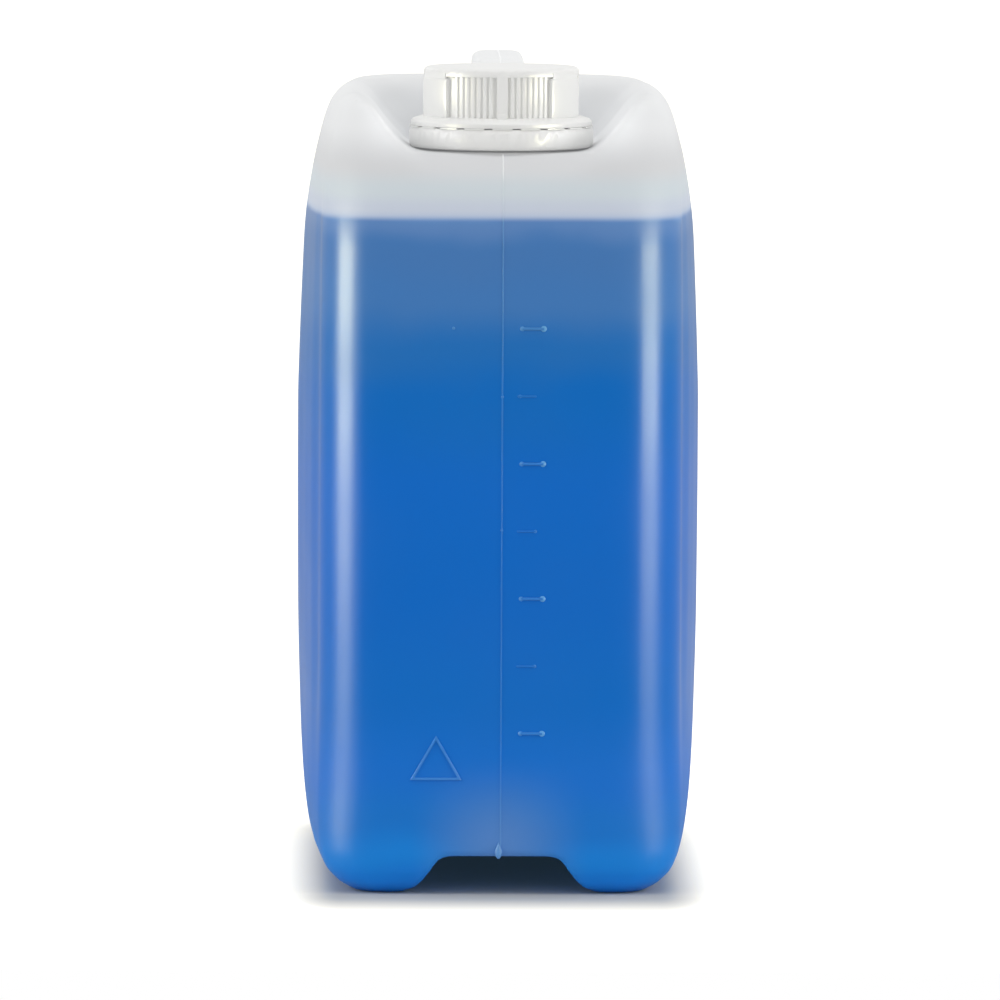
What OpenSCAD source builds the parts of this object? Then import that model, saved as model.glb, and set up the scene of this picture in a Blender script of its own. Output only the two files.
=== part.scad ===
// Five litre stacking can of translucent plastic, full of blue car wash detergent, with a ribbed
// screw cap and its tamper ring. All sizes in mm. X is the width, the front face looks along -Y,
// Z is up, and the feet stand on Z = 0.

/* [View] */
// Piece to draw

/* [Can] */
// Width over the bulged sides
can_w = 130; // [124:1:136]
// Depth from the front face to the rear face
can_d = 190; // [184:1:196]
// Height of the two shoulders
shoulder_z = 254; // [252:1:256]
// Wall thickness
wall = 1.3; // [1.0:0.1:1.6]
// Width of the handle bar
handle_w = 17; // [14:1:19]
// Top of the handle bar
handle_z = 262.6; // [261:0.2:264]
// Height of the tunnel through the base
channel_z = 12.4; // [10:0.2:14]
// Depth of the capacity marks
mark_out = 0.4; // [0.2:0.1:0.6]

/* [Detergent] */
// How far the liquid stands below the shoulders
level_drop = 38.2; // [38.2:0.2:120]
// Play between liquid and wall, so that they share no space
level_gap = 0.1; // [0.05:0.05:0.3]

/* [Neck] */
// Middle of the neck behind the front face
neck_back = 47; // [46:0.5:48]
// Radius of the bore
bore_r = 18.5; // [17:0.25:18.75]
// Radius of the neck wall at the thread root
neck_r = 20.8; // [20.4:0.1:21.2]

/* [Cap] */
// Radius of the three smooth grips
grip_r = 25.1; // [25:0.05:25.3]
// How far the cap has been screwed round
cap_angle = -3; // [-60:1:60]
// Bridges between tamper ring and cap
bridges = 20; // [12:1:24]
// Height of the slots between the bridges
slot = 0.4; // [0.3:0.1:0.7]

/* [Hidden] */
$fn = 72;
half_w = can_w / 2;
half_d = can_d / 2;
top = shoulder_z;
plateau_z = shoulder_z - 18.5;
level_z = shoulder_z - level_drop;
neck_y = -half_d + neck_back;

// Heights and radii of the closure, from the plateau that the neck stands on and from the neck
rim_z = plateau_z + 23.1;
flange_z = plateau_z + 7.7;
ring_z = plateau_z + 0.5;
ring_top = flange_z - slot;
bead_z = plateau_z + 5.5;
liner_h = 1.6;
cap_z = rim_z + liner_h + 1.8;
liner_r = neck_r + 0.7;
cap_in = neck_r + 1.9;
bead_r = neck_r + 4.4;
ring_in = neck_r + 5.6;
flange_r = neck_r + 8.2;
ring_r = neck_r + 8.7;

// The handle stands between the neck and the rear face, and its pocket round it
bar_h = 16.6;
handle_y0 = neck_y + 31.6;
handle_y1 = half_d - 14.5;
gap_y0 = handle_y0 + 11.9;
gap_y1 = handle_y1 - 10;
gap_z = handle_z - bar_h;
pocket_z = gap_z - 26;
pocket_y1 = gap_y1 - 7;

// Outline by height: z, side inset, column inset, front inset, rear inset, corner radius, groove.
// The insets are taken from half the width and half the depth.
span = (top - 54) / 200;
rows = [
    [0, 18.8, 20.3, 9.6, 9.6, 9, 0],
    [0.8 * span, 16, 17.8, 6.9, 6.9, 10.5, 0],
    [3.2 * span, 11.8, 13.8, 3.7, 3.6, 12.5, 0],
    [7 * span, 7.8, 10, 1.7, 1.5, 14.5, 0],
    [12 * span, 5.2, 7.9, 0.7, 0.4, 16.5, 0],
    [17.8 * span, 3.7, 6.9, 0.4, 0, 18.5, 0],
    [24 * span, 2.8, 6.6, 0.4, 0, 20, 0],
    [32 * span, 2.1, 6.6, 0.4, 0, 21, 0],
    [42 * span, 1.5, 6.8, 0.4, 0, 21.5, 0.1],
    [52 * span, 1.1, 7, 0.4, 0, 21.5, 0.4],
    [62 * span, 0.8, 7.1, 0.4, 0, 21.5, 0.7],
    [72 * span, 0.5, 7.2, 0.4, 0, 21.5, 0.9],
    [85 * span, 0.25, 7.2, 0.4, 0, 21.5, 0.9],
    [105 * span, 0.1, 7.2, 0.4, 0, 21.5, 0.9],
    [125 * span, 0, 7.2, 0.4, 0, 21.5, 0.9],
    [155 * span, 0, 7.2, 0.4, 0, 21.5, 0.9],
    [172 * span, 0.5, 7.2, 0.4, 0, 21.5, 0.9],
    [186 * span, 1.0, 7.3, 0.4, 0, 21.5, 0.9],
    [198 * span, 1.5, 7.4, 0.4, 0, 21.5, 0.9],
    [top - 47, 1.9, 7.5, 0.4, 0, 21.5, 0.9],
    [top - 40, 2.5, 7.6, 1, 0, 21.5, 0.8],
    [top - 32, 3.6, 7.8, 2.2, 0, 21.5, 0.5],
    [top - 26, 4.6, 8.2, 4, 0, 21.5, 0.2],
    [top - 21, 5.6, 8.8, 6.6, 0.2, 21.5, 0],
    [top - 17, 6.6, 9.6, 9.6, 0.5, 21.5, 0],
    [top - 14, 7.4, 10.3, 12.4, 1, 21.5, 0],
    [top - 11, 8.2, 11.1, 15.6, 1.8, 21.5, 0],
    [top - 8, 9.2, 12.1, 19.4, 3, 21, 0],
    [top - 5.5, 10.4, 13.3, 23.2, 4.6, 20.5, 0],
    [top - 3.6, 11.9, 14.8, 26.8, 6.6, 20, 0],
    [top - 1.9, 14, 16.9, 31.4, 10, 19.5, 0],
    [top - 0.7, 16.6, 19.5, 36.2, 14.5, 19, 0],
    [top, 20, 23, 43, 21, 18.5, 0]
];
corner_steps = 8;
side_steps = [-0.93, -0.8, -0.6, -0.3, 0, 0.3, 0.6, 0.8, 0.93];

function arc(cx, cy, r, from, to, n) =
    [for (k = [0:n]) let (a = from + (to - from) * k / n) [cx + r * cos(a), cy + r * sin(a)]];

function box_round(x0, y0, x1, y1, r_left, r_right, r_low) = concat(
    arc(x0 + r_low, y0 + r_low, r_low, 180, 270, 6), arc(x1 - r_low, y0 + r_low, r_low, 270, 360, 6),
    arc(x1 - r_right, y1 - r_right, r_right, 0, 90, 8), arc(x0 + r_left, y1 - r_left, r_left, 90, 180, 8));

// The right half of the outline at one row, from the front to the rear
function half_outline(row, in) =
    let (
        side = half_w - row[1] - in, column = half_w - row[2] - in,
        front = -half_d + row[3] + in, rear = half_d - row[4] - in, r = row[5],
        mid = (front + rear) / 2, reach = (rear - front) / 2 - r
    )
    concat(
        arc(column - r, front + r, r, -90, 0, corner_steps),
        [for (s = side_steps) [
            column + (side - column) * (1 - s * s) - (abs(s) > 0.9 ? row[6] : 0), mid + s * reach]],
        arc(column - r, rear - r, r, 0, 90, corner_steps)
    );

function outline(row, in) =
    let (right = half_outline(row, in), n = len(right))
    concat(right, [for (k = [n - 1:-1:0]) [-right[k][0], right[k][1]]]);

function lift(flat, z) = [for (p = flat) [p[0], p[1], z]];

// A closed form through outlines that lie one above the other and have as many points each
module stacked(rings) {
    n = len(rings[0]);
    last = len(rings) - 1;
    walls = [for (k = [0:last - 1]) for (j = [0:n - 1]) let (
            a = k * n + j, b = k * n + (j + 1) % n, c = a + n, d = b + n
        ) each [[a, c, d], [a, d, b]]];
    polyhedron([for (ring = rings) each ring], concat([[for (j = [0:n - 1]) j]], walls,
        [[for (j = [n - 1:-1:0]) last * n + j]]), convexity = 6);
}

// The closed outer form of the can, drawn smaller all round for its inside
module form(in) {
    stacked([for (row = rows) lift(outline(row, in), in + row[0] * (top - 2 * in) / top)]);
}

// A prism along Y of a profile in X and Z
module along_y(y0, y1) {
    translate([0, y1, 0]) rotate([90, 0, 0]) linear_extrude(y1 - y0) children();
}

// A prism along X of a profile in Y and Z
module along_x(x0, x1) {
    translate([x0, 0, 0]) rotate([90, 0, 90]) linear_extrude(x1 - x0) children();
}

// The tunnel under the can, open at the front and closed at the rear, with a round pocket that
// takes the cap of a can below
module channel(in) {
    c = channel_z;
    right = [[33, 0], [30.6, 0.5], [27.2, 1.8], [24.8, 3.9], [20.8, c - 3], [19.6, c - 1.2], [17, c]];
    shifted = [for (p = right) [p[0] + in * 1.1, p[1] + in]];
    along_y(-half_d - 5, half_d - 12 + in) polygon(concat(
        [[shifted[0][0], -5]], shifted,
        [for (k = [len(right) - 1:-1:0]) [-shifted[k][0], shifted[k][1]]], [[-shifted[0][0], -5]]));
    translate([0, neck_y, -1]) cylinder(h = c - 0.4 + 1 + in, r = grip_r + 2.4 + in);
}

// The valley in which the neck stands, by height above its floor: share of its widening, rear end, corner
slopes = [
    [-24, -0.9, 0, 8], [-12, -0.52, 0, 9], [-5, -0.2, 0, 10], [0, 0, 0.4, 11], [1, 0.05, 0.7, 12],
    [3, 0.14, 1.1, 13], [6, 0.27, 1.7, 14], [9, 0.38, 2.4, 15], [12, 0.47, 3.4, 16.5],
    [14.5, 0.56, 4.8, 18], [16.3, 0.68, 6.8, 20], [17.5, 0.83, 9.2, 22], [18.8, 1.06, 13, 24],
    [40, 1.2, 16, 25]
];
valley_w = flange_r;
crest_w = half_w - 13;

module valley(in) {
    r = 20.3 - in;
    intersection() {
        along_x(-half_w, half_w) polygon(concat(
            [[-half_d - 8, plateau_z - 20]],
            arc(-half_d + 20, plateau_z - 20, r, 180, 90, 7) + [for (k = [0:7]) [0, -0.3]],
            [[half_d, plateau_z - in], [half_d, top + 20], [-half_d - 8, top + 20]]));
        stacked([for (s = slopes) let (
                w = valley_w + (crest_w - valley_w) * s[1] + in * 1.1, y1 = pocket_y1 + s[2] + in,
                r = s[3] + in
            ) lift(concat([[w, -half_d - 10]], arc(w - r, y1 - r, r, 0, 90, 7),
                arc(-w + r, y1 - r, r, 90, 180, 7), [[-w, -half_d - 10]]), plateau_z + s[0])]);
    }
}

// The pocket for the fingers behind the neck, sunk into the valley's floor
module pocket(in) {
    sink = plateau_z - pocket_z;
    stacked([for (p = [
            [0, -7.5, 2, -7, 9], [0.06, -4.8, -1.5, -3.6, 10], [0.2, -3, -4, -2, 11],
            [0.6, -1.4, -7.6, -0.8, 12], [0.92, -0.6, -11, -0.1, 12.5], [1.05, 0.2, -14, 0.4, 13]
        ]) let (
            w = valley_w + p[1] + in, y0 = gap_y0 + p[2] - in, y1 = pocket_y1 + p[3] + in, r = p[4] + in
        ) lift(concat(
            arc(w - r, y0 + r, r, -90, 0, 6), arc(w - r, y1 - r, r, 0, 90, 6),
            arc(-w + r, y1 - r, r, 90, 180, 6), arc(-w + r, y0 + r, r, 180, 270, 6)),
            pocket_z - in + (sink + in) * p[0])]);
}

// The hollow handle, from behind the neck to the rear end
module handle(in) {
    x = handle_w / 2 - in;
    r = 3.2;
    intersection() {
        along_x(-x, x) difference() {
            polygon(box_round(handle_y0 + in, plateau_z - 16, handle_y1 - in, handle_z - in, 14, 18, 2));
            polygon(box_round(gap_y0 - in, pocket_z - 30, gap_y1 + in, gap_z + in, 10, 12, 2));
        }
        along_y(-half_d, half_d) polygon(concat([[-x, plateau_z - 40], [x, plateau_z - 40]],
            arc(x - r, handle_z - in - r, r, 0, 90, 6), arc(-x + r, handle_z - in - r, r, 90, 180, 6)));
    }
}

module can_form(in) {
    difference() {
        form(in);
        channel(in);
        valley(in);
        pocket(in);
    }
    handle(in);
}

// Seven marks, half a litre apart
first_mark = 51.8 * span;
mark_step = 21.48 * span;

module marks() {
    for (k = [0:6]) {
        long = k % 2 == 0;
        translate([long ? 7.3 : 5.4, -half_d, first_mark + k * mark_step - 0.4])
            cube([long ? 7.7 : 7.2, mark_out + 1, 0.8]);
    }
}

module jug_body() {
    color([0.75, 0.83, 0.93])
    difference() {
        union() {
            can_form(0);
            marks();
            translate([0, neck_y, 0]) rotate_extrude() polygon([
                [bore_r - 1, plateau_z - 1.5], [bead_r - 1.6, plateau_z - 1.5], [bead_r - 1.6, bead_z - 0.4],
                [bead_r, bead_z], [bead_r, bead_z + 1], [bead_r - 3, bead_z + 2.4],
                [neck_r, bead_z + 3.4], [neck_r, rim_z - 0.4], [neck_r - 0.4, rim_z], [bore_r - 1, rim_z]]);
        }
        can_form(wall);
        translate([0, neck_y, plateau_z - 10]) cylinder(h = rim_z - plateau_z + 20, r = bore_r);
    }
}

module detergent() {
    color([0.1, 0.4, 0.75])
    difference() {
        can_form(wall + level_gap);
        translate([-can_w, -can_d, level_z]) cube([2 * can_w, 2 * can_d, top]);
    }
}

module tamper_ring() {
    color([0.93, 0.93, 0.92])
    translate([0, neck_y, 0]) {
        rotate_extrude() polygon([
            [ring_in, ring_top], [ring_in, bead_z + 0.2], [bead_r - 0.7, bead_z - 0.7],
            [bead_r - 0.7, ring_z + 0.8], [bead_r + 0.2, ring_z], [ring_r - 1.4, ring_z],
            [ring_r - 0.5, ring_z + 0.4], [ring_r, ring_z + 1.6], [ring_r, ring_top - 1.6],
            [ring_r - 0.3, ring_top - 0.5], [ring_r - 0.7, ring_top]]);
        for (k = [0:bridges - 1]) rotate([0, 0, -90 + k * 360 / bridges])
            translate([ring_in + 0.5, -0.8, ring_top - 0.3]) cube([1.5, 1.6, flange_z - ring_top + 0.25]);
    }
}

module cap_liner() {
    color([0.85, 0.87, 0.9])
    translate([0, neck_y, rim_z]) cylinder(h = liner_h, r = liner_r);
}

// One third of the skirt by radius and angle: room for a smooth grip, fine ribs, one broad rib, fine ribs
rib_low = grip_r - 0.95;
rib_top = grip_r - 0.35;
recess_r = grip_r - 1.15;
function ribs(from, pitch) = [for (k = [0:6]) let (a = from + k * pitch) each [
    [rib_low, a + 0.5], [rib_top, a + 1.1], [rib_top, a + 3.2], [rib_low, a + 3.8]]];
field = concat(
    [for (k = [0:5]) [recess_r, k * 8.1]], ribs(41, 4.64),
    [[recess_r, 73.9], [recess_r, 75.1], [rib_top + 0.2, 75.6], [rib_top + 0.2, 83.4], [recess_r, 83.9],
    [recess_r, 84.6]], ribs(84.8, 4.46), [[recess_r, 116.4]]);
skirt = [for (turn = [0, 120, 240]) for (p = field) let (a = p[1] + turn - 166.5 + cap_angle)
    [p[0] * cos(a), p[0] * sin(a)]];

module screw_cap() {
    color([0.95, 0.95, 0.94])
    translate([0, neck_y, 0]) difference() {
        union() {
            rotate_extrude() polygon(concat(
                [[0, cap_z]], arc(grip_r - 1.8, cap_z - 1.6, 1.6, 90, 20, 4), [
                [grip_r - 0.25, cap_z - 2.7], [grip_r - 1.6, cap_z - 3.1], [grip_r - 1.6, flange_z + 3.2],
                [grip_r + 0.8, flange_z + 2.9], [flange_r - 0.7, flange_z + 2.1],
                [flange_r, flange_z + 1.3], [flange_r, flange_z], [0, flange_z]]));
            translate([0, 0, flange_z + 2.5]) linear_extrude(cap_z - 2.4 - flange_z - 2.5) difference() {
                polygon(skirt);
                circle(r = grip_r - 2);
            }
            // The smooth grips run on into the rim and the broad ribs over the flange
            for (turn = [0, 120, 240]) rotate([0, 0, turn - 166.5 + cap_angle]) {
                translate([0, 0, flange_z + 2.5]) linear_extrude(cap_z - 1.5 - flange_z - 2.5)
                    polygon(concat(arc(0, 0, grip_r, 0, 33, 8), arc(0, 0, grip_r - 1.9, 33, 0, 4)));
                rotate([0, 0, 79.5]) translate([grip_r - 1.8, -1.4, flange_z + 1])
                    cube([2.9, 2.8, 3.6]);
            }
        }
        rotate_extrude() polygon([
            [0, flange_z - 3], [ring_in, flange_z - 3], [ring_in, flange_z + 1.2],
            [ring_in - 0.8, flange_z + 1.8], [cap_in, flange_z + 3], [cap_in, rim_z + liner_h],
            [0, rim_z + liner_h]]);
    }
}

jug_body();
detergent();
tamper_ring();
cap_liner();
screw_cap();
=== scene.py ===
"""A five litre can of blue car wash detergent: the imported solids, dressed for one studio photograph.

Metres, in the frame of the solids: the front face looks along -Y and the feet stand on Z = 0."""

import math

import bpy
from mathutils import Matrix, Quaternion, Vector


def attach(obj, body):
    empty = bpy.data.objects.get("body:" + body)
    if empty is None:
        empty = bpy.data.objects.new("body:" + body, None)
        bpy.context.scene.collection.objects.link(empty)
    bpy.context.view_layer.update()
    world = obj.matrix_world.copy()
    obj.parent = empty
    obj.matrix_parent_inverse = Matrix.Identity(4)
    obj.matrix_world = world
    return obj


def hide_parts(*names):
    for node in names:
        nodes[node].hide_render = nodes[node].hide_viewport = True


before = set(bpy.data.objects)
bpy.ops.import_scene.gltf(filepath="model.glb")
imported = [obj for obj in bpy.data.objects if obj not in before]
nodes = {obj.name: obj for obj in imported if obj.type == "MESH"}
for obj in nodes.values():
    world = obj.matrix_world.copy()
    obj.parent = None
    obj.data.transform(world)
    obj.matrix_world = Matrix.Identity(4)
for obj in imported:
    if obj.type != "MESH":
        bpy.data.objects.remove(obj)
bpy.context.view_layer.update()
MM = 0.001

# Sizes that part.scad also holds
NECK = Vector((0, -48 * MM, 0))
PLATEAU = 235.5 * MM
BORE = 18.5 * MM
SHOULDER = 254 * MM
FLANGE = 243.2 * MM
CAP_TOP = 262 * MM
GRIP = 25.1 * MM
LEVEL = 215.8 * MM
FACE = -94.6 * MM
SEAM_X = 0.2 * MM
PITCH = 4 * MM
FIRST_MARK = 51.8
MARK_STEP = 21.48

# Sizes of the dressing alone
VOXEL = 1.7 * MM
FOOT_ROUNDING = 16 * MM
FOOT_REACH = 24 * MM
VALLEY_LOW = 222 * MM
SEAM_RIDGE = 0.24 * MM
TAB_X = -0.4 * MM
THREAD_LOW = 246.4 * MM
THREAD_TURNS = 2.2
THREAD_PHASE = 0.4
GRIP_ARC = 38
GRIPS = 3
BRIDGES = 20


def srgb(*values):
    """A colour read off the photograph in 0 to 255, as the shader wants it."""
    out = []
    for value in values:
        v = value / 255
        out.append(v / 12.92 if v <= 0.04045 else ((v + 0.055) / 1.055) ** 2.4)
    return (*out, 1.0)


# Selecting and editing


def only(piece):
    """Select this piece alone."""
    bpy.ops.object.select_all(action="DESELECT")
    piece.hide_set(False)
    piece.select_set(True)
    bpy.context.view_layer.objects.active = piece


def edit(piece):
    """Open a piece for editing with all of its mesh selected."""
    only(piece)
    bpy.ops.object.mode_set(mode="EDIT")
    bpy.ops.mesh.select_all(action="SELECT")


def done():
    bpy.ops.object.mode_set(mode="OBJECT")


def pick(piece, test):
    """Select the faces whose centre and normal pass the test, and go on editing."""
    bpy.ops.mesh.select_all(action="DESELECT")
    bpy.ops.mesh.select_mode(type="FACE")
    done()
    for face in piece.data.polygons:
        face.select = bool(test(face.center, face.normal))
    bpy.ops.object.mode_set(mode="EDIT")


def modify(piece, kind, **values):
    """Add a modifier and apply it."""
    only(piece)
    modifier = piece.modifiers.new(kind.lower(), kind)
    for key, value in values.items():
        setattr(modifier, key, value)
    bpy.ops.object.modifier_apply(modifier=modifier.name)


def settle(piece, name):
    """Put a finished piece's place into its mesh."""
    only(piece)
    bpy.ops.object.transform_apply(location=True, rotation=True, scale=True)
    piece.name = name
    return piece


def outward(piece):
    """Merge doubled points and turn every face outward."""
    edit(piece)
    bpy.ops.mesh.remove_doubles(threshold=1e-6)
    bpy.ops.mesh.normals_make_consistent(inside=False)
    done()


def merged_copy(node, name):
    """A copy of a solid's mesh whose loose triangles are joined."""
    piece = bpy.data.objects.new(name, nodes[node].data.copy())
    piece.data.materials.clear()
    bpy.context.scene.collection.objects.link(piece)
    edit(piece)
    bpy.ops.mesh.remove_doubles(threshold=2e-6)
    done()
    return piece


def join(pieces, name):
    """Join the pieces into the first of them."""
    only(pieces[0])
    for piece in pieces[1:]:
        piece.select_set(True)
    bpy.ops.object.join()
    pieces[0].name = name
    return pieces[0]


def from_axis(point):
    """Distance from the neck's axis."""
    return math.hypot(point.x - NECK.x, point.y - NECK.y)


def turned(profile, name, steps=96):
    """A ring or cup turned about the neck's axis from (radius, height) in mm."""
    mesh = bpy.data.meshes.new(name)
    piece = bpy.data.objects.new(name, mesh)
    bpy.context.scene.collection.objects.link(piece)
    points = [(r * MM, NECK.y, z * MM) for r, z in profile]
    mesh.from_pydata(points, [(k, k + 1) for k in range(len(points) - 1)], [])
    edit(piece)
    bpy.ops.mesh.spin(steps=steps, angle=2 * math.pi, center=NECK, axis=(0, 0, 1))
    bpy.ops.mesh.select_all(action="SELECT")
    bpy.ops.mesh.remove_doubles(threshold=2e-6)
    done()
    return piece


def thread(name, root, crest, low, turns, half, phase, steps=40):
    """A sloped ridge from root to crest that climbs one pitch a turn and runs out at both ends."""
    flank, round_off = 0.45 * MM, 0.1 * MM
    section = [(0, -half - flank), (1, -half + round_off), (1, half - round_off), (0, half + flank)]
    mesh = bpy.data.meshes.new(name)
    points, faces = [], []
    total = int(turns * steps)
    for k in range(total + 1):
        angle = phase + 2 * math.pi * k / steps
        rise = min(1, k / (steps * 0.12), (total - k) / (steps * 0.12))
        for out, up in section:
            r = root + (crest - root) * out * rise
            z = low + PITCH * k / steps + up * (0.35 + 0.65 * rise)
            points.append((r * math.cos(angle), NECK.y + r * math.sin(angle), z))
    for k in range(total):
        for j in range(4):
            a, b = 4 * k + j, 4 * k + (j + 1) % 4
            faces.append((a, b, b + 4, a + 4))
    faces += [(3, 2, 1, 0), tuple(4 * total + j for j in range(4))]
    mesh.from_pydata(points, [], faces)
    piece = bpy.data.objects.new(name, mesh)
    bpy.context.scene.collection.objects.link(piece)
    outward(piece)
    return piece


# The can


def reach_again(piece):
    """Let the feet and the shoulders reach their true heights after the smoothing, which draws them in."""
    spots = piece.data.vertices
    low = min(v.co.z for v in spots)
    high = max(v.co.z for v in spots if abs(v.co.x) > 25 * MM)
    for v in spots:
        v.co.z -= low * max(0, 1 - v.co.z / FOOT_REACH)
        if abs(v.co.x) > 12 * MM or v.co.y < 0 and v.co.z < PLATEAU + 4 * MM:
            v.co.z += (SHOULDER - high) * min(1, max(0, (v.co.z - PLATEAU) / (high - PLATEAU)))


def on_handle(spot):
    """Whether a spot lies on the handle's bar."""
    return abs(spot.x) < 10.5 * MM and spot.y > -18 * MM and spot.z > 244 * MM


def outer_skin():
    """The can's outside without its neck, softened as a blown moulding is."""
    skin = merged_copy("jug_body", "skin")
    edit(skin)
    # The bore's wall goes, so that the outside and the inside come apart
    pick(skin, lambda c, n: from_axis(c) < BORE + 0.3 * MM and c.z > 233 * MM and abs(n.z) < 0.5)
    bpy.ops.mesh.delete(type="FACE")
    bpy.ops.mesh.select_all(action="SELECT")
    bpy.ops.mesh.separate(type="LOOSE")
    done()
    parts = sorted(bpy.context.selected_objects, key=lambda o: o.dimensions.x * o.dimensions.z)
    inside, skin = parts[0], parts[-1]
    inside.name, skin.name = "inside", "skin"
    edit(skin)
    pick(skin, lambda c, n: from_axis(c) < 25.4 * MM and c.z > PLATEAU + 0.2 * MM)
    bpy.ops.mesh.delete(type="FACE")
    bpy.ops.mesh.select_mode(type="EDGE")
    bpy.ops.mesh.select_all(action="DESELECT")
    bpy.ops.mesh.select_non_manifold()
    bpy.ops.mesh.fill()
    done()
    for v in skin.data.vertices:
        v.co.y = max(v.co.y, FACE)
    skin.data.remesh_voxel_size = VOXEL
    only(skin)
    bpy.ops.object.voxel_remesh()
    edit(skin)
    bpy.ops.mesh.vertices_smooth(factor=0.5, repeat=2)
    pick(skin, lambda c, n: c.z > FOOT_ROUNDING and not on_handle(c))
    bpy.ops.mesh.vertices_smooth(factor=0.5, repeat=4)
    # The valley is softer than the rest, as a blown moulding is where it is drawn deepest
    pick(skin, lambda c, n: c.z > VALLEY_LOW and not on_handle(c))
    bpy.ops.mesh.vertices_smooth(factor=0.5, repeat=14)
    done()
    reach_again(skin)
    spare = skin.copy()
    spare.data = skin.data.copy()
    bpy.context.scene.collection.objects.link(spare)
    edit(skin)
    pick(skin, lambda c, n: from_axis(c) < 20 * MM and abs(c.z - PLATEAU) < 2 * MM)
    bpy.ops.mesh.delete(type="FACE")
    done()
    return skin, inside, spare


skin, inside, skin_copy = outer_skin()
neck = turned(
    [(18.5, 234), (18.5, 258), (18.75, 258.45), (19.2, 258.6), (20.1, 258.6), (20.55, 258.45), (20.8, 258),
     (20.8, 244.6), (22.2, 243.7), (24.6, 242.6), (25.1, 242.1), (25.15, 241.5), (24.9, 241.05),
     (23.9, 240.7), (23.6, 240.3), (23.6, 237), (23.8, 236.3), (24.4, 235.8), (28.2, 235.6), (30.4, 235)],
    "neck")
outward(neck)
neck_thread = thread(
    "neck_thread", 20.6 * MM, 22.3 * MM, THREAD_LOW, THREAD_TURNS, 0.55 * MM, THREAD_PHASE)
can = join([skin, inside, neck, neck_thread], "can_shell")


def raised(piece, share):
    """Note on a moulded detail how much lighter than the wall it is painted:
    partly a painted highlight, partly its paler, thicker plastic.
    """
    note = piece.data.attributes.new("raised", "FLOAT", "POINT")
    note.data.foreach_set("value", [share] * len(piece.data.vertices))
    return piece


def bead(name, size, place, width, segments=2):
    """A small raised block with rounded edges, size and place in mm."""
    bpy.ops.object.select_all(action="DESELECT")
    bpy.ops.mesh.primitive_cube_add(size=1, location=[v * MM for v in place], scale=[v * MM for v in size])
    piece = settle(bpy.context.active_object, name)
    modify(piece, "BEVEL", width=width * MM, segments=segments, limit_method="NONE")
    return piece


def dot(name, radius, place, flat=0.5):
    """A small raised dome on the front face."""
    bpy.ops.object.select_all(action="DESELECT")
    bpy.ops.mesh.primitive_uv_sphere_add(
        segments=20, ring_count=12, radius=radius * MM, location=[v * MM for v in place],
        scale=(1, flat, 1))
    return settle(bpy.context.active_object, name)


face = FACE / MM
details = []
for k in range(7):
    z = FIRST_MARK + MARK_STEP * k
    if k % 2 == 0:
        details.append(raised(bead("mark", (7.2, 0.8, 0.9), (9.9, face - 0.05, z), 0.3), 0.1))
        details.append(raised(dot("mark_end", 0.75, (6.4, face, z)), 0.2))
        details.append(raised(dot("mark_end", 0.95, (13.2, face, z), 0.42), 0.34))
    else:
        details.append(raised(bead("half_mark", (6.0, 0.6, 0.6), (8.0, face - 0.02, z), 0.25), 0.05))
        details.append(raised(dot("mark_end", 0.55, (10.8 if k < 5 else 5.8, face, z)), 0.12))
for place in ((SEAM_X / MM, face, 159), (SEAM_X / MM, face, 116.6), (-15.4, face, 180.8)):
    details.append(raised(dot("pip", 0.45, place, 0.6), 0.16))


def pinch_tab():
    """The stub of the pinched-off parison at the lip of the tunnel, with a pointed upper end."""
    bpy.ops.object.select_all(action="DESELECT")
    bpy.ops.mesh.primitive_uv_sphere_add(
        segments=24, ring_count=16, radius=1.2 * MM, location=(TAB_X, FACE, 14.4 * MM),
        scale=(1, 0.8, 2.2))
    piece = settle(bpy.context.active_object, "pinch_tab")
    for v in piece.data.vertices:
        rise = max(0, (v.co.z - 14 * MM) / (3 * MM))
        v.co.x = TAB_X + (v.co.x - TAB_X) * (1 - 0.7 * rise)
    return piece


def raised_triangle():
    """The open triangle that fingers can feel, cut from a three-sided disc."""
    bpy.ops.object.select_all(action="DESELECT")
    bpy.ops.mesh.primitive_cylinder_add(
        vertices=3, radius=9.5 * MM, depth=0.9 * MM, location=(-20.4 * MM, FACE, 41.6 * MM),
        rotation=(math.pi / 2, 0, 0))
    piece = settle(bpy.context.active_object, "triangle")
    edit(piece)
    pick(piece, lambda c, n: abs(n.y) > 0.9)
    bpy.ops.mesh.inset(thickness=0.8 * MM, depth=0)
    bpy.ops.mesh.delete(type="FACE")
    bpy.ops.mesh.select_mode(type="EDGE")
    bpy.ops.mesh.select_all(action="DESELECT")
    bpy.ops.mesh.select_non_manifold()
    bpy.ops.mesh.bridge_edge_loops()
    done()
    outward(piece)
    modify(piece, "BEVEL", width=0.25 * MM, segments=2, limit_method="ANGLE", angle_limit=math.radians(40))
    return piece


details.append(raised(raised_triangle(), 0.12))
details.append(raised(pinch_tab(), 0.12))


def seam_line():
    """The mould's parting line: a fine ridge round the whole can, along its section at the middle."""
    line = skin_copy
    edit(line)
    bpy.ops.mesh.bisect(plane_co=(SEAM_X, 0, 0), plane_no=(1, 0, 0), clear_inner=True, clear_outer=True)
    done()
    only(line)
    bpy.ops.object.convert(target="CURVE")
    line.data.bevel_depth = SEAM_RIDGE
    line.data.bevel_resolution = 1
    bpy.ops.object.convert(target="MESH")
    return settle(line, "seam")


details.append(raised(seam_line(), 0.09))
can = join([can, *details], "can_shell")
only(can)
bpy.ops.object.shade_smooth_by_angle(angle=math.radians(40))
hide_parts("jug_body")
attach(can, "jug")


# The closure


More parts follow.
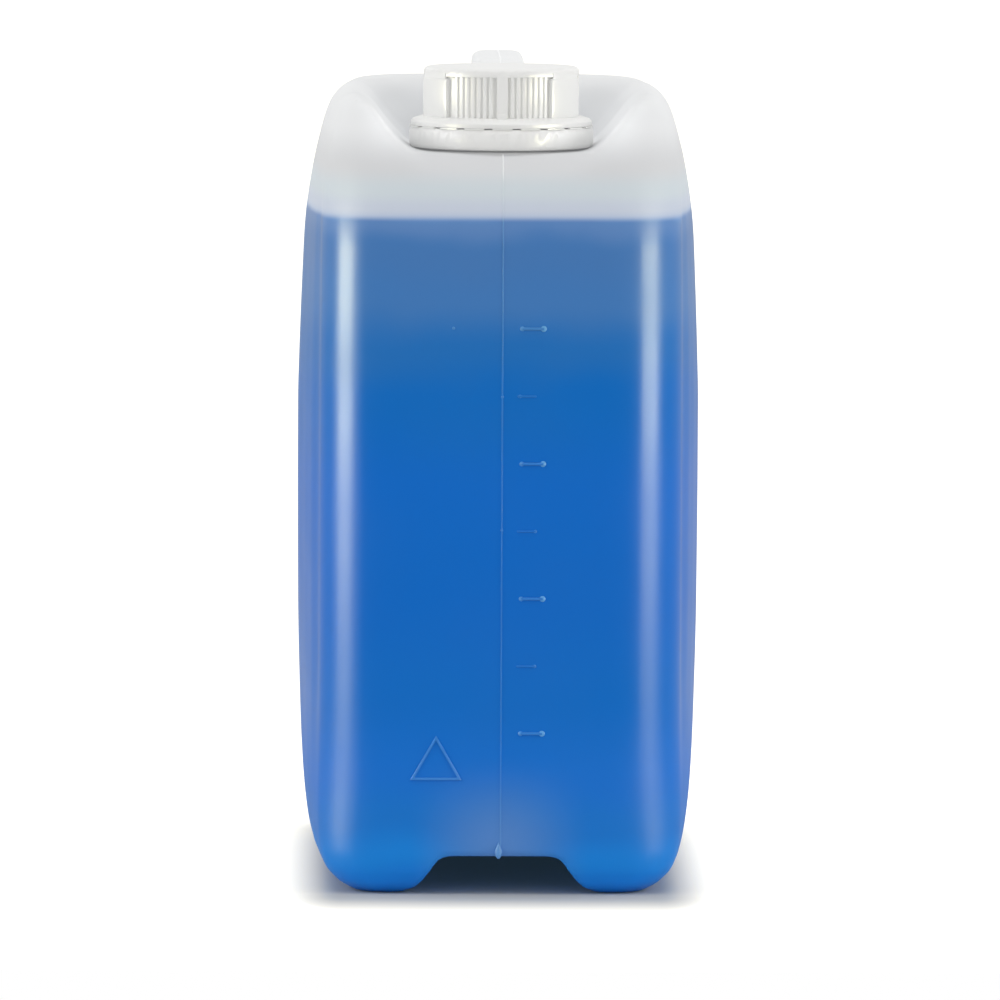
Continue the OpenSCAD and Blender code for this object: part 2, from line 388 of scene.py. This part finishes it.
def softened(node, name, width):
    """A solid's copy with its hard edges rounded a little."""
    piece = merged_copy(node, name)
    edit(piece)
    bpy.ops.mesh.dissolve_limited(angle_limit=math.radians(0.6))
    done()
    modify(piece, "BEVEL", width=width * MM, segments=2, limit_method="ANGLE", angle_limit=math.radians(32),
           use_clamp_overlap=True)
    return piece


def grip(turn):
    """One smooth grip of the cap, an arc with its edges rounded, over the solid's narrower one."""
    mesh = bpy.data.meshes.new("grip")
    piece = bpy.data.objects.new("grip", mesh)
    bpy.context.scene.collection.objects.link(piece)
    start = math.radians(turn)
    low, high = FLANGE + 2.4 * MM, CAP_TOP - 3.3 * MM
    inner, outer = GRIP - 1.7 * MM, GRIP + 0.3 * MM
    corners = [(inner, low), (outer, low), (outer, high), (inner, high)]
    points = [(r * math.cos(start), NECK.y + r * math.sin(start), z) for r, z in corners]
    mesh.from_pydata(points, [], [(0, 1, 2, 3)])
    edit(piece)
    bpy.ops.mesh.spin(steps=12, angle=math.radians(GRIP_ARC), center=NECK, axis=(0, 0, -1))
    done()
    outward(piece)
    modify(piece, "BEVEL", width=0.6 * MM, segments=3, limit_method="ANGLE", angle_limit=math.radians(40))
    return piece


cap = softened("screw_cap", "cap", 0.16)
grips = [grip(-172 + 360 / GRIPS * k) for k in range(GRIPS)]
cap_thread = thread(
    "cap_thread", 22.9 * MM, 21.3 * MM, THREAD_LOW + PITCH / 2, THREAD_TURNS, 0.5 * MM, THREAD_PHASE)
gate = turned([(0.01, 262.02), (0.7, 262.05), (1.0, 261.95), (1.2, 261.8)], "gate", 24)
cap = join([cap, cap_thread, gate, *grips], "ribbed_cap")
only(cap)
bpy.ops.object.shade_smooth_by_angle(angle=math.radians(35))
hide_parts("screw_cap")
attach(cap, "cap")


def bridge(turn):
    """One of the thin webs that hold the ring to the cap until it is first opened."""
    bpy.ops.object.select_all(action="DESELECT")
    out = Vector((math.cos(turn), math.sin(turn), 0))
    bpy.ops.mesh.primitive_cube_add(
        size=1, location=NECK + 28.8 * MM * out + Vector((0, 0, FLANGE - 0.25 * MM)),
        rotation=(0, 0, turn), scale=(1.1 * MM, 6.4 * MM, 0.4 * MM))
    return settle(bpy.context.active_object, "bridge")


ring = softened("tamper_ring", "tamper_band", 0.12)
bridges = [bridge(math.radians(-90 + 360 / BRIDGES * k)) for k in range(BRIDGES)]
ring = join([ring, *bridges], "tamper_band")
only(ring)
bpy.ops.object.shade_smooth_by_angle(angle=math.radians(35))
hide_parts("tamper_ring")
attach(ring, "jug")


# Materials


class Sheet:
    """A node tree, written from left to right. An input takes a socket or a plain value."""

    def __init__(self, tree):
        self.tree = tree
        tree.nodes.clear()

    def add(self, kind, **values):
        node = self.tree.nodes.new("ShaderNode" + kind)
        for key, value in values.items():
            setattr(node, key, value)
        return node

    def feed(self, socket, source):
        if isinstance(source, bpy.types.NodeSocket):
            self.tree.links.new(source, socket)
        else:
            socket.default_value = source

    def fill(self, node, **inputs):
        """Feed a node's inputs by name."""
        for key, source in inputs.items():
            self.feed(node.inputs[key.replace("_", " ")], source)
        return node

    def math(self, kind, *sources):
        node = self.add("Math", operation=kind)
        for socket, source in zip(node.inputs, sources):
            self.feed(socket, source)
        return node.outputs[0]

    def vector(self, kind, *sources):
        node = self.add("VectorMath", operation=kind)
        for socket, source in zip(node.inputs, sources):
            self.feed(socket, source)
        return node.outputs["Value" if kind in ("LENGTH", "DISTANCE") else "Vector"]

    def span(self, source, low, high, start, end, kind="LINEAR"):
        """A value that goes from start to end while source goes from low to high."""
        node = self.add("MapRange", interpolation_type=kind)
        self.fill(node, Value=source, From_Min=low, From_Max=high, To_Min=start, To_Max=end)
        return node.outputs[0]

    def smooth(self, source, low, high, start=0.0, end=1.0):
        return self.span(source, low, high, start, end, "SMOOTHSTEP")

    def between(self, factor, a, b):
        """A value between two others."""
        node = self.fill(self.add("Mix", data_type="FLOAT"), Factor=factor, A=a, B=b)
        return node.outputs["Result"]

    def mixed(self, factor, a, b):
        """A colour between two others. The colour inputs of the node are its seventh and eighth."""
        node = self.add("Mix", data_type="RGBA")
        for index, source in ((0, factor), (6, a), (7, b)):
            self.feed(node.inputs[index], source)
        return node.outputs[2]

    def ramp(self, source, low, high, stops):
        """A colour ramp over source from low to high, with stops as (value, colour)."""
        node = self.fill(self.add("ValToRGB"), Fac=self.span(source, low, high, 0.0, 1.0))
        band = node.color_ramp
        band.interpolation = "EASE"
        while len(band.elements) < len(stops):
            band.elements.new(0.5)
        for element, (value, colour) in zip(band.elements, stops):
            element.position = (value - low) / (high - low)
            element.color = colour
        return node.outputs["Color"]


def new_material(name, draw, *choices):
    """A material whose shader a function draws on its sheet."""
    material = bpy.data.materials.new(name)
    material.use_nodes = True
    sheet = Sheet(material.node_tree)
    sheet.feed(sheet.add("OutputMaterial").inputs[0], draw(sheet, *choices))
    return material


def grain_group():
    """Height of moulded plastic: fine grain and long faint streaks along Z, from Object coordinates."""
    sheet = Sheet(bpy.data.node_groups.new("moulded grain", "ShaderNodeTree"))
    for label in ("Grain Scale", "Streak Scale", "Streak Share"):
        sheet.tree.interface.new_socket(name=label, in_out="INPUT", socket_type="NodeSocketFloat")
    for label in ("Height", "Mottle"):
        sheet.tree.interface.new_socket(name=label, in_out="OUTPUT", socket_type="NodeSocketFloat")
    given = sheet.tree.nodes.new("NodeGroupInput").outputs
    place = sheet.add("TexCoord").outputs["Object"]
    grain = sheet.fill(
        sheet.add("TexNoise"), Vector=place, Scale=given["Grain Scale"], Detail=3.0, Roughness=0.6)
    stretch = sheet.fill(sheet.add("Mapping"), Vector=place, Scale=(1, 1, 0.03))
    streak = sheet.fill(
        sheet.add("TexNoise"), Vector=stretch.outputs[0], Scale=given["Streak Scale"],
        Detail=2.0, Roughness=0.5)
    cloud = sheet.fill(sheet.add("TexNoise"), Vector=place, Scale=22.0, Detail=2.0, Roughness=0.5)
    height = sheet.between(given["Streak Share"], grain.outputs["Fac"], streak.outputs["Fac"])
    sheet.fill(sheet.tree.nodes.new("NodeGroupOutput"), Height=height, Mottle=cloud.outputs["Fac"])
    return sheet.tree


GRAIN = grain_group()
ROUGHNESS_SPREAD = 0.035


def add_grain(sheet, shader, grain_scale, streak_scale, share, depth, rough):
    """Wire the moulded grain to a shader's normal and roughness, and hand back its mottle and roughness."""
    grain = sheet.fill(
        sheet.add("Group", node_tree=GRAIN),
        Grain_Scale=grain_scale, Streak_Scale=streak_scale, Streak_Share=share)
    bump = sheet.fill(sheet.add("Bump"), Strength=1.0, Distance=depth, Height=grain.outputs["Height"])
    mottle = grain.outputs["Mottle"]
    uneven = sheet.span(mottle, 0.3, 0.7, rough - ROUGHNESS_SPREAD, rough + ROUGHNESS_SPREAD)
    sheet.fill(shader, Normal=bump.outputs[0], Roughness=uneven)
    return mottle, uneven


# The wall's colours by height in metres. With the liquid behind it: painted lighter towards the foot and the
# level, where light comes into the liquid. With air behind it: painted shade and the liquid's painted blue
# light, darker and bluer towards the level.
BLUE_WITH_PAINTED_LIGHT_STOPS = [
    (0.000, srgb(0, 122, 218)), (0.004, srgb(0, 128, 223)), (0.010, srgb(0, 134, 225)),
    (0.022, srgb(0, 119, 210)), (0.038, srgb(0, 115, 213)), (0.063, srgb(0, 112, 205)),
    (0.095, srgb(0, 109, 205)), (0.127, srgb(0, 109, 206)), (0.158, srgb(0, 110, 198)),
    (0.174, srgb(30, 114, 192)), (0.190, srgb(67, 125, 191)), (0.206, srgb(71, 124, 187)),
    (0.2135, srgb(96, 138, 194)), (0.217, srgb(110, 153, 206))]
MILK_WITH_PAINTED_SHADE_STOPS = [
    (0.2155, srgb(128, 147, 178)), (0.2185, srgb(151, 161, 179)), (0.224, srgb(160, 171, 177)),
    (0.232, srgb(168, 168, 169)), (0.245, srgb(192, 192, 192)), (0.264, srgb(203, 203, 202))]
CHANNEL_GLOW_BLUE = srgb(98, 142, 203)
PALE_PLASTIC_AND_GLINT = srgb(156, 229, 255)
PAINTED_GLOW_WHITE = srgb(246, 249, 252)
WHITE = (1.0, 1.0, 1.0, 1.0)


def can_plastic(sheet):
    """Translucent polyethylene: the liquid's blue shows through it up to the level, milky white above."""
    shader = sheet.fill(sheet.add("BsdfPrincipled"), IOR=1.5, Specular_IOR_Level=0.2)
    mottle, uneven = add_grain(sheet, shader, 700.0, 190.0, 0.75, 0.00004, 0.32)
    place = sheet.add("TexCoord").outputs["Object"]
    x, y, z = sheet.fill(sheet.add("SeparateXYZ"), Vector=place).outputs
    across = sheet.math("ABSOLUTE", x)
    height = sheet.math("ADD", z, sheet.span(mottle, 0.0, 1.0, -0.008, 0.008))
    blue = sheet.ramp(height, 0, 0.22, BLUE_WITH_PAINTED_LIGHT_STOPS)
    milk = sheet.ramp(z, 0.21, 0.265, MILK_WITH_PAINTED_SHADE_STOPS)
    # Painted light: at the front the wall is painted paler over the mouth of the base channel, where light
    # from the floor comes through the thin liquid there
    thin = sheet.math("MULTIPLY", sheet.smooth(z, 0.046, 0.014), sheet.smooth(across, 0.03, 0.0))
    channel_glow = sheet.math("MULTIPLY", thin, sheet.smooth(y, 0.0, -0.03, 0.0, 0.75))
    blue = sheet.mixed(channel_glow, blue, CHANNEL_GLOW_BLUE)
    # Moulded marks, the seam and the triangle are painted lighter: partly a painted highlight,
    # partly their paler, thicker plastic
    note = sheet.add("Attribute", attribute_name="raised").outputs["Fac"]
    blue = sheet.mixed(note, blue, PALE_PLASTIC_AND_GLINT)
    # The seam on the milky shoulder below the ring is painted white: a painted highlight, partly its paler
    # plastic
    seam_pale_and_glint = sheet.math("MULTIPLY", note, sheet.smooth(z, 0.2255, 0.2315, 0.0, 2.4))
    milk = sheet.mixed(seam_pale_and_glint, milk, WHITE)
    above = sheet.smooth(z, LEVEL - 1.5 * MM, LEVEL + 1.0 * MM)
    # With air behind it the wall has a painted glow, emission that stands in for the light that comes
    # through the can:
    # more in the valley beside the neck and less under the ring, where it is painted shade; its gloss is
    # lost in that glow
    glow = sheet.math("MULTIPLY", above, 0.27)
    beside = sheet.math(
        "MULTIPLY", sheet.smooth(across, 0.048, 0.036), sheet.smooth(across, 0.020, 0.028, 0.0, 0.1))
    at_front = sheet.math("MULTIPLY", beside, sheet.smooth(y, 0.0, -0.02))
    valley = sheet.math("MULTIPLY", at_front, sheet.smooth(z, 0.230, 0.246))
    # Painted shade: under the ring the glow falls to three tenths
    radius = sheet.vector("DISTANCE", sheet.vector("MULTIPLY", place, (1, 1, 0)), NECK)
    under_ring_shade = sheet.smooth(radius, 0.0285, 0.0335, 0.3, 1.0)
    strength = sheet.math("MULTIPLY", sheet.math("ADD", glow, valley), under_ring_shade)
    dull = sheet.math("MULTIPLY_ADD", above, 0.2, uneven)
    # The feet are scuffed, so the gloss of the corners fades out above them
    scuffed = sheet.math("ADD", dull, sheet.smooth(z, 0.065, 0.022, 0.0, 0.15))
    sheet.fill(
        shader, Base_Color=sheet.mixed(above, blue, milk), Roughness=scuffed,
        Emission_Color=PAINTED_GLOW_WHITE, Emission_Strength=strength)
    return shader.outputs[0]


def white_plastic(sheet, colour, rough):
    """Opaque white plastic with fine moulded grain."""
    shader = sheet.fill(sheet.add("BsdfPrincipled"), IOR=1.49)
    mottle, _ = add_grain(sheet, shader, 1400.0, 500.0, 0.3, 0.00002, rough)
    darker = tuple(0.955 * v for v in colour[:3]) + (1.0,)
    sheet.fill(shader, Base_Color=sheet.mixed(mottle, colour, darker))
    return shader.outputs[0]


def blue_liquid(sheet):
    place = sheet.add("TexCoord").outputs["Object"]
    cloud = sheet.fill(sheet.add("TexNoise"), Vector=place, Scale=18.0, Detail=1.0).outputs["Fac"]
    colour = sheet.mixed(cloud, srgb(14, 92, 180), srgb(24, 108, 196))
    return sheet.fill(sheet.add("BsdfPrincipled"), IOR=1.34, Roughness=0.06, Base_Color=colour).outputs[0]


def liner_foam(sheet):
    place = sheet.add("TexCoord").outputs["Object"]
    cells = sheet.fill(sheet.add("TexVoronoi"), Vector=place, Scale=1600.0).outputs["Distance"]
    bump = sheet.fill(sheet.add("Bump"), Distance=0.0001, Height=cells)
    colour = sheet.mixed(cells, srgb(226, 231, 236), srgb(212, 218, 226))
    shader = sheet.add("BsdfPrincipled")
    sheet.fill(shader, IOR=1.45, Roughness=0.75, Normal=bump.outputs[0], Base_Color=colour)
    return shader.outputs[0]


def dress(piece, material):
    piece.data.materials.clear()
    piece.data.materials.append(material)


dress(can, new_material("can_plastic", can_plastic))
dress(cap, new_material("cap_plastic", white_plastic, srgb(239, 239, 237), 0.34))
dress(ring, new_material("ring_plastic", white_plastic, srgb(243, 243, 241), 0.3))
dress(nodes["detergent"], new_material("blue_liquid", blue_liquid))
dress(nodes["cap_liner"], new_material("liner_foam", liner_foam))


# Camera and studio

CAMERA_DISTANCE = 4
AIM = Vector((0.8 * MM, 0, 118.8 * MM))
camera = bpy.data.objects.new("camera", bpy.data.cameras.new("camera"))
bpy.context.scene.collection.objects.link(camera)
camera.data.lens = 443.1
camera.data.sensor_width = 36
camera.data.clip_end = 60
tilt, swing, roll = math.radians(4.5), math.radians(0.75), math.radians(0.28)
look = Vector((math.cos(tilt) * math.sin(swing), math.cos(tilt) * math.cos(swing), -math.sin(tilt)))
camera.location = AIM - CAMERA_DISTANCE * look
camera.rotation_euler = (look.to_track_quat("-Z", "Y") @ Quaternion((0, 0, 1), roll)).to_euler()
bpy.context.scene.camera = camera
bpy.context.scene.view_settings.view_transform = "Standard"


def lamp(name, place, target, size, watts):
    data = bpy.data.lights.new(name, "AREA")
    data.shape = "RECTANGLE"
    data.size, data.size_y = size
    data.energy = watts
    item = bpy.data.objects.new(name, data)
    bpy.context.scene.collection.objects.link(item)
    item.location = place
    item.rotation_euler = (Vector(target) - Vector(place)).to_track_quat("-Z", "Y").to_euler()
    return item


# Low softboxes beside the can, brighter towards their tops, which show in its gloss alone
for x, y, share in ((-0.75, -0.25, 1.0), (0.69, -0.42, 0.8)):
    for z, tall, watts in ((0.06, 0.04, 0.6), (0.11, 0.05, 4.2), (0.2, 0.04, 6.4)):
        softbox = lamp("softbox", (x, y, z), (0, -0.05, z), (0.42, tall), watts * share)
        softbox.data.color = (1, 0.97, 0.66)
        softbox.visible_diffuse = False
# High lamps at both sides for the closure, and a broad one overhead
for x, watts in ((-0.68, 1.3), (0.68, 1.5)):
    lamp("side lamp", (x, -0.3, 0.46), (0, -0.05, 0.24), (0.3, 0.24), watts)
lamp("overhead", (0, -0.1, 1.6), (0, 0, 0.13), (1.4, 1.4), 4)

# The world is white to the eye and through what is clear, soft on what it lights, and in the gloss a
# white backdrop behind the can and a dark room before it
world = bpy.data.worlds.new("studio")
bpy.context.scene.world = world
world.use_nodes = True
studio = Sheet(world.node_tree)
rays = studio.add("LightPath").outputs
towards = studio.fill(studio.add("SeparateXYZ"), Vector=studio.add("TexCoord").outputs["Generated"])
room = studio.span(towards.outputs["Y"], -0.3, 0.3, 0.0, 0.95)
seen = studio.math("MAXIMUM", rays["Is Camera Ray"], rays["Is Transmission Ray"])
strength = studio.between(seen, studio.between(rays["Is Glossy Ray"], 0.69, room), 1.0)
sky = studio.fill(studio.add("Background"), Color=WHITE, Strength=strength)
studio.feed(studio.add("OutputWorld").inputs[0], sky.outputs[0])


def white_paper(sheet):
    """Paper that is lifted to pure white for the eye away from the can. Near the can it keeps the real
    shadow and, being darker to the eye than in the light it passes on, adds a painted shadow there.
    """
    to_eye = sheet.add("LightPath").outputs["Is Camera Ray"]
    matt = sheet.add("BsdfDiffuse")
    sheet.fill(matt, Color=sheet.mixed(to_eye, (0.74, 0.74, 0.74, 1), (0.48, 0.48, 0.475, 1)))
    # How far a spot lies outside the can's foot, with the way to the front and the back made shorter,
    # so that the painted shadow reaches further to the front and the back
    apart = sheet.vector("ABSOLUTE", sheet.add("TexCoord").outputs["Object"])
    outside = sheet.vector("MAXIMUM", sheet.vector("SUBTRACT", apart, (0.05, 0.095, 0)))
    away = sheet.vector("LENGTH", sheet.vector("MULTIPLY", outside, (1, 0.36, 1)))
    lift = sheet.math("MULTIPLY", sheet.smooth(away, 0.0, 0.0245, 0.03, 0.95), to_eye)
    # Painted light: near the can the lift is blue, the can's blue light in the tunnel under it and in its
    # shadow
    blue_glow_near_can = sheet.mixed(sheet.smooth(away, 0.0, 0.008), (0.3, 0.62, 1.0, 1), (1, 0.975, 0.88, 1))
    glow = sheet.fill(sheet.add("Emission"), Color=blue_glow_near_can, Strength=lift)
    both = sheet.add("AddShader")
    sheet.feed(both.inputs[0], matt.outputs[0])
    sheet.feed(both.inputs[1], glow.outputs[0])
    return both.outputs[0]


# A sheet of white paper whose front edge is 0.3 m before the can's middle
FLOOR_SIZE = 40
FLOOR_FRONT = -0.3
bpy.ops.object.select_all(action="DESELECT")
bpy.ops.mesh.primitive_plane_add(size=FLOOR_SIZE, location=(0, FLOOR_FRONT + FLOOR_SIZE / 2, 0))
floor = bpy.context.active_object
bpy.ops.object.transform_apply(location=True)
floor.name = "floor"
dress(floor, new_material("white_paper", white_paper))
